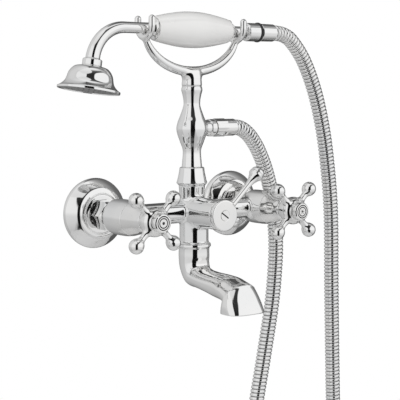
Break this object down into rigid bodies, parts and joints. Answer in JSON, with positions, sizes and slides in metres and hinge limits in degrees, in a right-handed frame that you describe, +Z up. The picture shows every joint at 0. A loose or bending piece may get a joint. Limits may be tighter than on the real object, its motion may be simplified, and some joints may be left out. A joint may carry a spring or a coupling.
{
  "type": "bath shower mixer",
  "caption": "Wall-mounted exposed bath and shower mixer in chrome with cross handles, lever diverter, down-turned spout, and a porcelain-gripped handset on a forked cradle with its hose.",
  "frame": {"origin": "on the wall's face, midway between the axes of the hot and the cold inlet", "axes": "+X to the right seen from the front, from the hot to the cold inlet; +Y into the wall along the inlets; +Z up"},
  "size_m": [0.3145, 0.1472, 0.6289],
  "materials": {
    "chrome": "polished plating",
    "brass": "machined",
    "rubber": "matte",
    "porcelain": "glazed",
    "alumina": "lapped",
    "moulded": "moulded"
  },
  "bodies": {
    "fixed_body": {"left_wall_flange": "chrome", "right_wall_flange": "chrome", "left_wall_union": "chrome", "right_wall_union": "chrome", "left_union_nut": "chrome", "right_union_nut": "chrome", "left_union_washer": "rubber", "right_union_washer": "rubber", "left_inlet_tail": "chrome", "right_inlet_tail": "chrome", "mixer_body": "chrome", "left_seat_seal": "rubber", "right_seat_seal": "rubber", "left_headwork": "brass", "right_headwork": "brass", "left_fixed_disc": "alumina", "right_fixed_disc": "alumina", "left_bonnet": "chrome", "right_bonnet": "chrome", "diverter_sleeve": "brass", "diverter_gland": "brass", "riser_washer": "rubber", "riser_collar": "chrome", "riser_column": "chrome", "outlet_nipple": "brass", "check_valve": "moulded", "cradle_stud": "brass", "cradle": "chrome", "spout_washer": "rubber", "spout_nipple": "brass", "spout": "chrome", "riser_hose_washer": "rubber", "riser_hose_nut": "chrome", "hose": "chrome"},
    "hot_control": {"left_moving_disc": "alumina", "left_spindle": "brass", "left_cross_handle": "chrome", "handle_screw_left": "brass", "left_index_button": "chrome"},
    "cold_control": {"right_moving_disc": "alumina", "right_spindle": "brass", "right_cross_handle": "chrome", "handle_screw_right": "brass", "right_index_button": "chrome"},
    "diverter_control": {"diverter_plug": "brass", "diverter_o_rings": "rubber", "diverter_lever": "chrome", "diverter_screw": "chrome"},
    "handset": {"handset_hose_nut": "chrome", "handset_hose_washer": "rubber", "gooseneck": "chrome", "rose_collar": "chrome", "rose_bell": "chrome", "spray_plate": "chrome", "front_ferrule": "chrome", "grip": "porcelain", "grip_tube": "brass", "rear_ferrule": "chrome", "handset_tail": "chrome", "tail_ring": "rubber"}
  },
  "joints": [
    {"name": "hot_turn", "type": "hinge", "parent": "fixed_body", "child": "hot_control", "pos_m": [-0.075, 0, 0], "axis": [0, -1, 0], "range_deg": [0, 90]},
    {"name": "cold_turn", "type": "hinge", "parent": "fixed_body", "child": "cold_control", "pos_m": [0.075, 0, 0], "axis": [0, 1, 0], "range_deg": [0, 90]},
    {"name": "diverter_turn", "type": "hinge", "parent": "fixed_body", "child": "diverter_control", "pos_m": [0, 0, 0], "axis": [0, -1, 0], "range_deg": [0, 90]},
    {"name": "handset_lift", "type": "slide", "parent": "fixed_body", "child": "handset", "axis": [0, 0, 1], "range_m": [0, 0.06], "deforming": ["hose"]}
  ]
}
